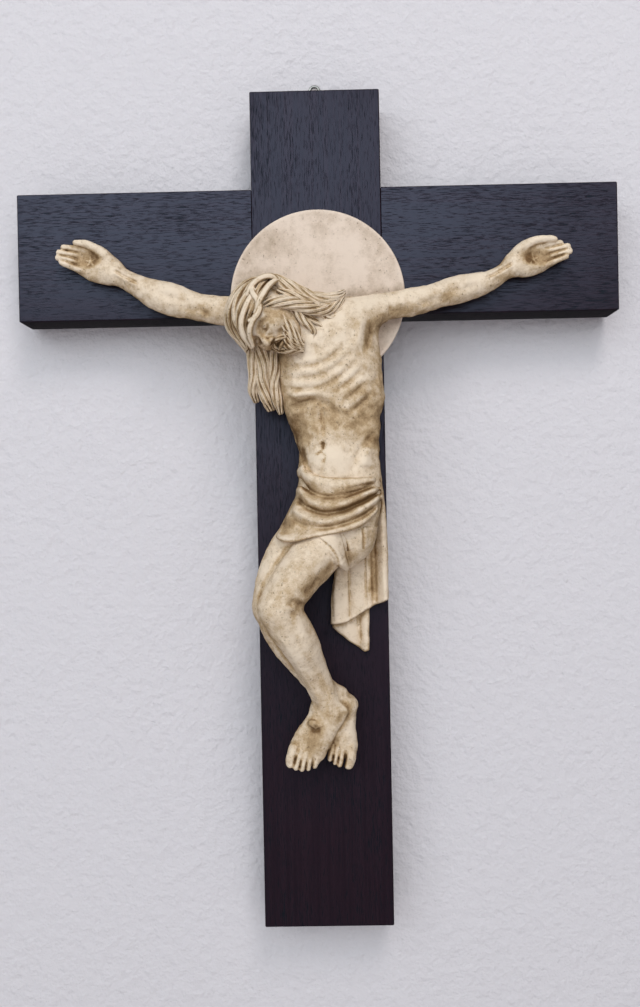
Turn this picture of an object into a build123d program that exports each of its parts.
from build123d import *
import math
import os

# A wall crucifix: two dark boards in a half-lap, a plain disc, and a cast figure in three
# castings, all screwed on from behind. It hangs by a wire ring from a nail.
# Origin: the nail's middle in the ring. +Z up, the figure faces -Y, +X to the viewer's right.
# Lengths are in millimetres, angles in degrees.

# Cross
UPRIGHT_HEIGHT = 420.0
UPRIGHT_WIDTH = 65.0
CROSSBAR_LENGTH = 301.0
CROSSBAR_WIDTH = 64.0
BOARD_THICKNESS = 20.0
TOP_ARM = 49.0  # from the upright's top to the crossbar
ARRIS = 0.7
LAP_CLEARANCE = 0.1

# Disc behind the head
HALO_DIAMETER = 87.0
HALO_THICKNESS = 3.0
HALO_BELOW_TOP = 104.0
HALO_EDGE = 0.7
HALO_CLEARANCE = 0.2

# Figure, with heights measured down from the disc's middle and depths out from the boards' face
FIGURE_HEIGHT = 233.0
TRUNK_WIDTH = 50.0
TRUNK_DEPTH = 28.0
SHOULDER_LEFT = 38.0  # from the middle line to the left shoulder seam
SHOULDER_RIGHT = 32.5
SHOULDER_DROP = 7.8
SHOULDER_DEPTH = 10.0
HEAD_LENGTH = 38.0
HEAD_WIDTH = 26.0
HEAD_DEPTH = 31.0
CROWN_THICKNESS = 5.0
HAIR_WIDTH = 12.0
NECK_WIDTH = 20.0
THIGH_WIDTH = 31.0
CALF_WIDTH = 22.0
FOOT_WIDTH = 18.5
ARM_WIDTH = 13.4
ARM_REACH_LEFT = 92.0
ARM_REACH_RIGHT = 93.5
ARM_RISE_LEFT = 31.0
ARM_RISE_RIGHT = 27.0
ARM_CLEARANCE = 0.2  # between an arm and the hair over it
THUMB_WIDTH = 5.0
DRAPE_WIDTH = 29.0
DRAPE_DROP = 76.0
DRAPE_DEPTH = 9.0
DRAPE_TAIL_DEPTH = 4.5
HEM_TILT = 14.0

# Fixings
DOWEL_DIAMETER = 3.0
DOWEL_LENGTH = 20.0
BODY_SCREW_DIAMETER = 4.0
BODY_SCREW_HEAD = 8.0
BODY_SCREW_LENGTH = 37.0
UPPER_SCREW_DROP = 27.0
LOWER_SCREW_DROP = 103.0
BODY_SCREW_SIDE = 5.0
HAND_SCREW_DIAMETER = 3.0
HAND_SCREW_HEAD = 6.0
HAND_SCREW_LENGTH = 25.5
STRAP_SCREW_DIAMETER = 2.5
STRAP_SCREW_HEAD = 4.6
STRAP_SCREW_HEAD_HEIGHT = 1.4
STRAP_SCREW_LENGTH = 12.0  # in the wood
HOLE_CLEARANCE = 0.05

# Hanger
RING_WIRE = 1.6
RING_BASE = 14.0  # between the lower corners, on the wire's middle line
RING_REACH = 11.0  # from the ring's bar to the nail
RING_TOP_RADIUS = 2.4
RING_CORNER_RADIUS = 1.8
STRAP_THICKNESS = 0.8
STRAP_WIDTH = 8.0
STRAP_LENGTH = 24.0
STRAP_FOLD = 5.0  # from the ring's bar down to where the two layers meet
STRAP_CORNER_RADIUS = 2.0
RING_CLEARANCE = 0.08
BAR_BELOW_TOP = 2.0
UPPER_STRAP_SCREW = 9.5
LOWER_STRAP_SCREW = 18.5

OVERRUN = 5.0  # how far each cut runs past what it cuts
TRUNK_SIDES = 20
LIMB_SIDES = 14
THUMB_SIDES = 8
CROWN_SIDES = 6
WIRE_SIDES = 8

# Sections of the trunk from the shoulders down: drop, side, depth, half width, half depth
TRUNK_SHARES = (
    (0.00, -0.06, 0.46, 0.32, 0.21),
    (0.035, -0.02, 0.48, 0.47, 0.38),
    (0.08, 0.05, 0.48, 0.50, 0.48),
    (0.13, 0.09, 0.46, 0.50, 0.54),
    (0.205, 0.12, 0.45, 0.48, 0.50),
    (0.275, 0.15, 0.43, 0.43, 0.46),
    (0.335, 0.18, 0.43, 0.39, 0.46),
    (0.40, 0.18, 0.43, 0.42, 0.51),
    (0.50, 0.10, 0.46, 0.44, 0.55),
)
LOINCLOTH_SHARES = (
    (0.362, 0.19, 0.43, 0.42, 0.54),
    (0.403, 0.18, 0.43, 0.45, 0.58),
    (0.445, 0.16, 0.43, 0.47, 0.62),
    (0.485, 0.10, 0.46, 0.49, 0.64),
    (0.535, 0.02, 0.52, 0.50, 0.64),
)
HEM_PIVOT_SHARES = (-0.46, 0.515)  # the hem's lowest point: side, drop

# Limbs: side, drop, depth, then half width and half depth as shares of the limb's width
THIGH_FRONT_SHARES = (
    (0.14, 0.46, 0.46, 0.58, 0.50),
    (-0.12, 0.545, 0.68, 0.60, 0.51),
    (-0.31, 0.605, 0.93, 0.50, 0.44),
    (-0.44, 0.645, 1.10, 0.41, 0.39),
    (-0.50, 0.665, 1.19, 0.22, 0.22),
)
SHIN_FRONT_SHARES = (
    (-0.50, 0.61, 1.17, 0.24, 0.26),
    (-0.45, 0.64, 1.10, 0.52, 0.50),
    (-0.31, 0.705, 0.95, 0.57, 0.56),
    (-0.14, 0.77, 0.72, 0.44, 0.46),
    (-0.03, 0.825, 0.52, 0.34, 0.35),
    (0.00, 0.86, 0.43, 0.35, 0.35),
)
THIGH_REAR_SHARES = (
    (0.28, 0.475, 0.40, 0.56, 0.40),
    (-0.04, 0.555, 0.50, 0.58, 0.43),
    (-0.34, 0.615, 0.64, 0.47, 0.37),
    (-0.51, 0.65, 0.73, 0.39, 0.33),
    (-0.57, 0.665, 0.76, 0.22, 0.20),
)
SHIN_REAR_SHARES = (
    (-0.56, 0.615, 0.76, 0.25, 0.23),
    (-0.51, 0.645, 0.71, 0.50, 0.45),
    (-0.38, 0.71, 0.61, 0.54, 0.44),
    (-0.17, 0.785, 0.43, 0.40, 0.37),
    (0.04, 0.84, 0.32, 0.35, 0.31),
    (0.11, 0.865, 0.29, 0.36, 0.31),
)
FOOT_FRONT_SHARES = (
    (0.06, 0.835, 0.38, 0.26, 0.26),
    (0.03, 0.86, 0.40, 0.40, 0.42),
    (-0.05, 0.90, 0.43, 0.46, 0.37),
    (-0.15, 0.95, 0.52, 0.52, 0.28),
    (-0.20, 0.985, 0.60, 0.46, 0.18),
    (-0.21, 1.00, 0.62, 0.32, 0.12),
)
FOOT_REAR_SHARES = (
    (0.22, 0.845, 0.28, 0.26, 0.26),
    (0.20, 0.87, 0.27, 0.42, 0.33),
    (0.17, 0.905, 0.27, 0.42, 0.32),
    (0.18, 0.95, 0.27, 0.45, 0.27),
    (0.17, 0.99, 0.32, 0.40, 0.18),
    (0.165, 1.005, 0.33, 0.26, 0.12),
)

NECK_SHARES = (
    (-0.02, 0.055, 0.48, 0.55, 0.45),
    (-0.22, 0.055, 0.68, 0.48, 0.48),
    (-0.38, 0.06, 0.86, 0.44, 0.44),
)
SHOULDER_INNER_SHARES = (0.32, 0.056, 0.46, 0.74, 0.68)  # side counts back from the seam
SHOULDER_MIDDLE_SHARES = (0.18, 0.041, 0.41, 0.67, 0.63)
LOCK_RIGHT_SHARES = (
    (-0.38, 0.00, 0.86, 0.40, 0.40),
    (-0.16, 0.027, 0.96, 0.48, 0.42),
    (0.08, 0.027, 0.88, 0.44, 0.38),
    (0.25, 0.014, 0.75, 0.26, 0.26),
)
LOCK_LEFT_SHARES = (
    (-0.54, 0.095, 0.75, 0.52, 0.50),
    (-0.53, 0.155, 0.62, 0.57, 0.42),
    (-0.52, 0.215, 0.50, 0.53, 0.35),
    (-0.51, 0.245, 0.45, 0.38, 0.25),
)

# Head: where its middle lies, which way its top and its front point, then its sections from the
# hair on top to the beard: up, forward, half width, half depth
HEAD_MIDDLE_SHARES = (-0.47, 0.066, 0.96)
HEAD_TOP_DIRECTION = (-0.81, 0.28, 0.515)
HEAD_FRONT_DIRECTION = (-0.52, -0.75, -0.41)
HEAD_SHARES = (
    (0.55, -0.06, 0.22, 0.22),
    (0.46, -0.06, 0.40, 0.39),
    (0.26, -0.05, 0.55, 0.53),
    (0.02, -0.03, 0.56, 0.53),
    (-0.20, 0.02, 0.48, 0.45),
    (-0.38, 0.08, 0.38, 0.34),
    (-0.52, 0.15, 0.27, 0.23),
    (-0.60, 0.18, 0.13, 0.11),
)
CROWN_RISE_SHARE = 0.17
CROWN_RADIUS_SHARE = 0.52

# Arm and hand from the shoulder seam out: along, rise, depth as a share of the shoulder's,
# half width, half depth
ARM_SHARES = (
    (0.00, 0.00, 1.00, 0.51, 0.48),
    (0.14, 0.06, 0.98, 0.55, 0.47),
    (0.29, 0.19, 0.84, 0.52, 0.47),
    (0.42, 0.32, 0.76, 0.54, 0.48),
    (0.55, 0.48, 0.64, 0.45, 0.42),
    (0.665, 0.71, 0.50, 0.36, 0.34),
    (0.75, 0.80, 0.40, 0.52, 0.32),
    (0.82, 0.855, 0.41, 0.55, 0.29),
    (0.90, 0.91, 0.47, 0.48, 0.24),
    (0.97, 0.97, 0.56, 0.34, 0.18),
    (1.00, 1.00, 0.60, 0.19, 0.12),
)
PALM_SHARES = ARM_SHARES[6]
THUMB_SHARES = (  # along, rise over the hand's middle line, depth, half width
    (0.70, 0.24, 0.65, 0.50),
    (0.87, 0.60, 0.78, 0.46),
    (0.90, 0.66, 0.78, 0.22),
)

# Hanging end of the loincloth, seen from the front: side, drop
DRAPE_OUTLINE_SHARES = (
    (0.72, 0.00),
    (0.94, 0.02),
    (1.00, 0.66),
    (0.40, 0.76),
    (0.00, 0.84),
    (0.05, 0.50),
    (0.30, 0.24),
)
DRAPE_TAIL_SHARES = ((0.00, 0.83), (0.59, 1.00), (0.62, 0.70), (0.10, 0.70))
DRAPE_LEFT_SHARE = 0.075  # its lower left corner, as a share of the trunk's width
DRAPE_TOP_SHARE = 0.437  # its top, as a share of the figure's height
DRAPE_FLUTE_SHARES = ((0.0, 0.55), (0.16, 0.80), (0.33, 0.98), (0.47, 0.72), (0.60, 0.72),
                      (0.74, 1.00), (0.86, 0.66), (1.0, 0.85))

# Places that follow from the sizes
LOOP_RADIUS = RING_WIRE / 2 + RING_CLEARANCE
BAR_STANDOFF = LOOP_RADIUS + STRAP_THICKNESS
BACK_Y = -BAR_STANDOFF
FACE_Y = BACK_Y - BOARD_THICKNESS
LAP_Y = BACK_Y - BOARD_THICKNESS / 2
BAR_Z = -RING_REACH
TOP_Z = BAR_Z + BAR_BELOW_TOP
FOOT_Z = TOP_Z - UPRIGHT_HEIGHT
CROSSBAR_Z = TOP_Z - TOP_ARM - CROSSBAR_WIDTH / 2
HALO_Z = TOP_Z - HALO_BELOW_TOP
DOWN = Vector(0, 0, -1)
ACROSS = Vector(1, 0, 0)


def place(side, drop, depth):
    """A point of the figure from its side, drop and depth in millimetres."""
    return Vector(side, FACE_Y - depth, HALO_Z - drop)


def trunk_place(side_share, drop_share, depth_share):
    """A point of the figure from shares of the trunk's width, the height and the trunk's depth."""
    return place(side_share * TRUNK_WIDTH, drop_share * FIGURE_HEIGHT, depth_share * TRUNK_DEPTH)


def oval_points(half_width, half_depth, sides):
    """Corners of a many-sided oval, in order."""
    turns = [2 * math.pi * (step + 1 / 2) / sides for step in range(sides)]
    return [(half_width * math.cos(turn), half_depth * math.sin(turn)) for turn in turns]


def flat_face(*points):
    return make_face(Polyline(*points, close=True))


def faceted_loft(rings, loop=False):
    """A closed solid through rings of corners, with flat facets from each ring to the next."""
    faces = [] if loop else [flat_face(*rings[0]), flat_face(*rings[-1])]
    for near, far in zip(rings, rings[1:] + rings[:1] if loop else rings[1:]):
        for here, after in zip(range(len(near)), [*range(1, len(near)), 0]):
            faces.append(flat_face(near[here], near[after], far[after]))
            faces.append(flat_face(near[here], far[after], far[here]))
    return Solid(Shell([face.faces()[0] for face in faces]))


def limb(stations, way, sides=LIMB_SIDES):
    """A faceted loft through many-sided ovals that all stand square to one way."""
    rings = []
    for point, half_width, half_depth in stations:
        plane = Plane(origin=point, x_dir=way.cross(Vector(0, 1, 0)), z_dir=way)
        corners = oval_points(half_width, half_depth, sides)
        rings.append([plane.from_local_coords(Vector(*corner)) for corner in corners])
    return faceted_loft(rings)


def limb_from_shares(rows, width, way=DOWN):
    """A limb whose places are shares of the trunk and whose thickness is shares of its width."""
    stations = [(trunk_place(side, drop, depth), half_width * width, half_depth * width)
                for side, drop, depth, half_width, half_depth in rows]
    return limb(stations, way)


def trunk_form(rows):
    """A loft down the trunk, for the trunk and the cloth round it."""
    stations = [(trunk_place(side, drop, depth), half_width * TRUNK_WIDTH, half_depth * TRUNK_DEPTH)
                for drop, side, depth, half_width, half_depth in rows]
    return limb(stations, DOWN, TRUNK_SIDES)


def board(width, height, middle_z):
    """A board with its arrises taken off."""
    blank = Box(width, BOARD_THICKNESS, height)
    return Pos(0, (FACE_Y + BACK_Y) / 2, middle_z) * chamfer(blank.edges(), ARRIS)


def bore(diameter, x, z, front_y):
    """A hole from behind the boards forward to front_y."""
    depth = BACK_Y + OVERRUN - front_y
    hole = Cylinder(diameter / 2 + HOLE_CLEARANCE, depth)
    return Pos(x, front_y + depth / 2, z) * Rot(90, 0, 0) * hole


def countersunk_screw(diameter, head, length, x, z, grow=0):
    """A countersunk screw with its head flush in the back, turned from half its profile."""
    shank = diameter / 2 + grow
    rim = head / 2 + grow
    cone = rim - shank
    tip = length + grow
    turned = revolve(flat_face((0, 0), (rim, 0), (shank, cone), (shank, tip), (0, tip)), Axis.Y)
    return Pos(x, BACK_Y, z) * Rot(180, 0, 0) * turned


def hand_place(hand):
    """The middle of a palm seen from the front, where the screw comes in."""
    side, seam, reach, rise = hand
    along_share, rise_share = PALM_SHARES[0], PALM_SHARES[1]
    return side * (seam + along_share * reach), HALO_Z - SHOULDER_DROP + rise_share * rise


HANDS = {"left": (-1, SHOULDER_LEFT, ARM_REACH_LEFT, ARM_RISE_LEFT),
         "right": (1, SHOULDER_RIGHT, ARM_REACH_RIGHT, ARM_RISE_RIGHT)}
BODY_SCREWS = {"upper": UPPER_SCREW_DROP, "lower": LOWER_SCREW_DROP}
STRAP_SCREWS = {"upper": UPPER_STRAP_SCREW, "lower": LOWER_STRAP_SCREW}


def halo_blank(grow):
    """The disc, or the space that the castings leave for it."""
    thickness = HALO_THICKNESS + (OVERRUN if grow else 0)
    disc = Cylinder(HALO_DIAMETER / 2 + grow, thickness)
    middle_y = FACE_Y - HALO_THICKNESS + thickness / 2
    return Pos(0, middle_y, HALO_Z) * Rot(90, 0, 0) * disc


def behind_boards_face():
    """All that lies behind the boards' front face, to trim the castings' backs flat."""
    size = UPRIGHT_HEIGHT + CROSSBAR_LENGTH
    return Pos(0, FACE_Y + size / 2, HALO_Z) * Box(size, size, size)


def make_upright():
    upright = board(UPRIGHT_WIDTH, UPRIGHT_HEIGHT, (TOP_Z + FOOT_Z) / 2)
    lap = Box(UPRIGHT_WIDTH + OVERRUN, BOARD_THICKNESS, CROSSBAR_WIDTH + LAP_CLEARANCE * 2)
    upright -= Pos(0, LAP_Y + BOARD_THICKNESS / 2, CROSSBAR_Z) * lap
    for drop in BODY_SCREWS.values():
        upright -= countersunk_screw(BODY_SCREW_DIAMETER, BODY_SCREW_HEAD, BODY_SCREW_LENGTH,
                                     BODY_SCREW_SIDE, HALO_Z - drop, HOLE_CLEARANCE)
    for drop in STRAP_SCREWS.values():
        upright -= bore(STRAP_SCREW_DIAMETER, 0, BAR_Z - drop, BACK_Y - STRAP_SCREW_LENGTH)
    return upright


def make_crossbar():
    crossbar = board(CROSSBAR_LENGTH, CROSSBAR_WIDTH, CROSSBAR_Z)
    lap = Box(UPRIGHT_WIDTH + LAP_CLEARANCE * 2, BOARD_THICKNESS, CROSSBAR_WIDTH + OVERRUN)
    crossbar -= Pos(0, LAP_Y - BOARD_THICKNESS / 2, CROSSBAR_Z) * lap
    for hand in HANDS.values():
        x, z = hand_place(hand)
        crossbar -= countersunk_screw(HAND_SCREW_DIAMETER, HAND_SCREW_HEAD, HAND_SCREW_LENGTH,
                                      x, z, HOLE_CLEARANCE)
    return crossbar


def make_halo():
    halo = halo_blank(0)
    front_edge = halo.edges().filter_by(GeomType.CIRCLE).sort_by(Axis.Y)[0]
    halo = chamfer(front_edge, HALO_EDGE)
    return halo - countersunk_screw(BODY_SCREW_DIAMETER, BODY_SCREW_HEAD, BODY_SCREW_LENGTH,
                                    BODY_SCREW_SIDE, HALO_Z - UPPER_SCREW_DROP, HOLE_CLEARANCE)


def make_head():
    """A head in its hair and beard, lofted from the top down, and the plaited ring round the brow."""
    top_way = Vector(*HEAD_TOP_DIRECTION).normalized()
    side_way = Vector(*HEAD_FRONT_DIRECTION).cross(top_way)
    frame = Plane(origin=trunk_place(*HEAD_MIDDLE_SHARES), x_dir=side_way, z_dir=top_way)
    rings = []
    for up, forward, half_width, half_depth in HEAD_SHARES:
        corners = oval_points(half_width * HEAD_WIDTH, half_depth * HEAD_DEPTH, LIMB_SIDES)
        rings.append([Vector(x, y + forward * HEAD_DEPTH, up * HEAD_LENGTH) for x, y in corners])
    crown = []
    for x, y in oval_points(1, 1, TRUNK_SIDES):
        outs = oval_points(CROWN_THICKNESS / 2, CROWN_THICKNESS / 2, CROWN_SIDES)
        crown.append([Vector(x, y) * (CROWN_RADIUS_SHARE * HEAD_DEPTH + out)
                      + Vector(0, 0, CROWN_RISE_SHARE * HEAD_LENGTH + up) for out, up in outs])
    return [frame * faceted_loft(rings), frame * faceted_loft(crown, loop=True)]


def make_loincloth():
    """The wrapped cloth, its hem cut at a slant."""
    cloth = trunk_form(LOINCLOTH_SHARES)
    pivot_side, pivot_drop = HEM_PIVOT_SHARES
    size = FIGURE_HEIGHT
    below = Pos(0, 0, -size / 2) * Box(size, size, size)
    cut = Pos(trunk_place(pivot_side, pivot_drop, 0)) * Rot(0, -HEM_TILT, 0) * below
    return cloth - cut


def outline_prism(outline, left, top, depth):
    """A flat outline drawn from the front, run out from the boards' face."""
    points = [(left + side * DRAPE_WIDTH, top - drop * DRAPE_DROP) for side, drop in outline]
    plane = Plane(origin=(0, FACE_Y, 0), x_dir=(1, 0, 0), z_dir=(0, -1, 0))
    return extrude(plane * flat_face(*points), depth)


def make_drape():
    """The hanging end: its outline from the front, met with a fluted section from above."""
    left = DRAPE_LEFT_SHARE * TRUNK_WIDTH
    top = HALO_Z - DRAPE_TOP_SHARE * FIGURE_HEIGHT
    outline = outline_prism(DRAPE_OUTLINE_SHARES, left, top, DRAPE_DEPTH)
    flutes = [(left + side * DRAPE_WIDTH, FACE_Y - depth * DRAPE_DEPTH) for side, depth in DRAPE_FLUTE_SHARES]
    section = flat_face(*flutes, (flutes[-1][0], FACE_Y), (flutes[0][0], FACE_Y))
    fluted = extrude(Pos(0, 0, top - DRAPE_DROP) * section, DRAPE_DROP)
    tail = outline_prism(DRAPE_TAIL_SHARES, left, top, DRAPE_TAIL_DEPTH)
    return [outline & fluted, tail]


def make_shoulder(side, seam):
    """From inside the chest out to the flat shoulder seam."""
    width = ARM_WIDTH
    stations = []
    for back, drop, depth, half_width, half_depth in (SHOULDER_INNER_SHARES, SHOULDER_MIDDLE_SHARES):
        point = place(side * (seam - back * TRUNK_WIDTH), drop * FIGURE_HEIGHT, depth * TRUNK_DEPTH)
        stations.append((point, half_width * width, half_depth * width))
    along, rise, depth, half_width, half_depth = ARM_SHARES[0]
    end = place(side * seam, SHOULDER_DROP, SHOULDER_DEPTH)
    stations.append((end, half_width * width, half_depth * width))
    return limb(stations, ACROSS * side)


def make_dowel(side, seam, grow=0):
    """A dowel across a shoulder seam, or the hole for it."""
    dowel = Cylinder(DOWEL_DIAMETER / 2 + grow, DOWEL_LENGTH + grow * 2)
    return Pos(place(side * seam, SHOULDER_DROP, SHOULDER_DEPTH)) * Rot(0, 90, 0) * dowel


def arm_place(hand, along_share, rise_share, depth_share):
    """A point of an arm, from shares of its reach, its rise and the shoulder's depth."""
    side, seam, reach, rise = hand
    out = side * (seam + along_share * reach)
    return place(out, SHOULDER_DROP - rise_share * rise, depth_share * SHOULDER_DEPTH)


def arm_run(hand, grow=0):
    """An arm with its hand, or with grow the room that it needs."""
    stations = []
    for along, up, depth_share, half_width, half_depth in ARM_SHARES:
        point = arm_place(hand, along, up, depth_share)
        stations.append((point, half_width * ARM_WIDTH + grow, half_depth * ARM_WIDTH + grow))
    return limb(stations, ACROSS * hand[0])


def make_body():
    """Trunk, head, cloth, legs and feet as one casting with a flat back."""
    body = trunk_form(TRUNK_SHARES)
    forms = [make_loincloth(), limb_from_shares(NECK_SHARES, NECK_WIDTH, -ACROSS)]
    forms += make_head() + make_drape()
    forms.append(limb_from_shares(LOCK_RIGHT_SHARES, HAIR_WIDTH, ACROSS))
    forms.append(limb_from_shares(LOCK_LEFT_SHARES, HAIR_WIDTH))
    forms += [limb_from_shares(rows, THIGH_WIDTH) for rows in (THIGH_FRONT_SHARES, THIGH_REAR_SHARES)]
    forms += [limb_from_shares(rows, CALF_WIDTH) for rows in (SHIN_FRONT_SHARES, SHIN_REAR_SHARES)]
    forms += [limb_from_shares(rows, FOOT_WIDTH) for rows in (FOOT_FRONT_SHARES, FOOT_REAR_SHARES)]
    forms += [make_shoulder(hand[0], hand[1]) for hand in HANDS.values()]
    for form in forms:
        body = body + form
    body = body - behind_boards_face() - halo_blank(HALO_CLEARANCE)
    for hand in HANDS.values():
        side, seam = hand[0], hand[1]
        body -= arm_run(hand, ARM_CLEARANCE)
        body -= make_dowel(side, seam, HOLE_CLEARANCE)
    for drop in BODY_SCREWS.values():
        body -= countersunk_screw(BODY_SCREW_DIAMETER, BODY_SCREW_HEAD, BODY_SCREW_LENGTH,
                                  BODY_SCREW_SIDE, HALO_Z - drop, HOLE_CLEARANCE)
    return body


def make_arm(hand):
    """An arm and its hand, mitten-shaped with the thumb apart, flat where it lies on the board."""
    side, seam, reach, rise = hand
    thumb = []
    for along, up, depth, half_width in THUMB_SHARES:
        point = arm_place(hand, along, along, depth) + Vector(0, 0, up * ARM_WIDTH)
        thumb.append((point, half_width * THUMB_WIDTH, half_width * THUMB_WIDTH))
    arm = arm_run(hand) + limb(thumb, ACROSS * side, THUMB_SIDES)
    arm = arm - behind_boards_face() - halo_blank(HALO_CLEARANCE) - make_dowel(side, seam, HOLE_CLEARANCE)
    x, z = hand_place(hand)
    return arm - countersunk_screw(HAND_SCREW_DIAMETER, HAND_SCREW_HEAD, HAND_SCREW_LENGTH,
                                   x, z, HOLE_CLEARANCE)


def make_ring():
    """Wire bent to a tall triangle with round corners, standing on its bar."""
    half = RING_BASE / 2
    slope = math.atan2(RING_REACH, half) + math.asin(RING_TOP_RADIUS / math.hypot(RING_REACH, half))
    corners = [Vector(-half, 0), Vector(half, 0), Vector(0, half * math.tan(slope))]
    radii = [RING_CORNER_RADIUS, RING_CORNER_RADIUS, RING_TOP_RADIUS]
    entries, exits, bends = [], [], []
    for index, (corner, radius) in enumerate(zip(corners, radii)):
        back = (corners[index - 1] - corner).normalized()
        on = (corners[(index + 1) % len(corners)] - corner).normalized()
        half_angle = math.radians(back.get_angle(on)) / 2
        cut = radius / math.tan(half_angle)
        middle = corner + (back + on).normalized() * (radius / math.sin(half_angle))
        entries.append(corner + back * cut)
        exits.append(corner + on * cut)
        turn = 180 - math.degrees(half_angle) * 2
        wire = flat_face(*oval_points(RING_WIRE / 2, RING_WIRE / 2, WIRE_SIDES))
        section = Plane(origin=entries[-1], z_dir=back) * wire
        bends.append(revolve(section, Axis(middle, (0, 0, 1)), turn))
    ring = bends[0] + bends[1] + bends[2]
    for index in range(len(corners)):
        start = exits[index]
        run = entries[(index + 1) % len(corners)] - start
        ring += extrude(Plane(origin=start, z_dir=run) * Circle(RING_WIRE / 2), run.length)
    return Plane(origin=(0, 0, BAR_Z), x_dir=(1, 0, 0), z_dir=(0, -1, 0)) * ring


def make_strap():
    """A strip folded round the ring's bar and laid double, seen from the side and run to its width."""
    outer = LOOP_RADIUS + STRAP_THICKNESS
    double = STRAP_THICKNESS * 2
    seat = Pos(-outer + double / 2, -STRAP_FOLD) * Rectangle(double, STRAP_THICKNESS)
    layers = Pos(-outer + double / 2, -STRAP_FOLD - (STRAP_LENGTH - STRAP_FOLD) / 2) * Rectangle(
        double, STRAP_LENGTH - STRAP_FOLD)
    wedge = make_hull(Circle(outer).edges() + seat.edges())
    inner_corner = (-LOOP_RADIUS, -STRAP_FOLD + STRAP_THICKNESS)
    void = make_hull(Circle(LOOP_RADIUS).edges() + [Line((-LOOP_RADIUS, 0), inner_corner)])
    profile = wedge + layers - void
    plane = Plane(origin=(0, 0, BAR_Z), x_dir=(0, 1, 0), z_dir=(1, 0, 0))
    strap = extrude(plane * profile, STRAP_WIDTH / 2, both=True)
    ends = strap.edges().filter_by(Axis.Y).group_by(Axis.Z)[0]
    strap = fillet(ends, STRAP_CORNER_RADIUS)
    for drop in STRAP_SCREWS.values():
        strap -= bore(STRAP_SCREW_DIAMETER, 0, BAR_Z - drop, BACK_Y - OVERRUN)
    return strap


def make_strap_screw(drop):
    """A wood screw with a low domed head, turned from half its profile."""
    shank = STRAP_SCREW_DIAMETER / 2
    rim = STRAP_SCREW_HEAD / 2
    height = STRAP_SCREW_HEAD_HEIGHT
    buried = STRAP_SCREW_LENGTH + STRAP_THICKNESS * 2 - HOLE_CLEARANCE
    points = [(0, height), (rim / 2, height), (rim, height / 2), (rim, 0), (shank, 0),
              (shank, -buried), (0, -buried)]
    turned = revolve(flat_face(*points), Axis.Y)
    return Pos(0, BACK_Y + STRAP_THICKNESS * 2, BAR_Z - drop) * turned


def make_body_screw(drop):
    return countersunk_screw(BODY_SCREW_DIAMETER, BODY_SCREW_HEAD, BODY_SCREW_LENGTH,
                             BODY_SCREW_SIDE, HALO_Z - drop)


def make_hand_screw(hand):
    x, z = hand_place(hand)
    return countersunk_screw(HAND_SCREW_DIAMETER, HAND_SCREW_HEAD, HAND_SCREW_LENGTH, x, z)


os.makedirs("parts", exist_ok=True)
pieces = {"upright": make_upright(), "crossbar": make_crossbar(), "halo": make_halo(),
          "corpus_body": make_body(), "hanger_strap": make_strap(), "hanger_ring": make_ring()}
for name, hand in HANDS.items():
    pieces["arm_" + name] = make_arm(hand)
    pieces["dowel_" + name] = make_dowel(hand[0], hand[1])
    pieces["hand_screw_" + name] = make_hand_screw(hand)
for name, drop in BODY_SCREWS.items():
    pieces["body_screw_" + name] = make_body_screw(drop)
for name, drop in STRAP_SCREWS.items():
    pieces["hanger_screw_" + name] = make_strap_screw(drop)
for name, piece in pieces.items():
    export_step(piece, f"parts/{name}.step")
    print(name, len(piece.solids()), round(piece.volume, 1))
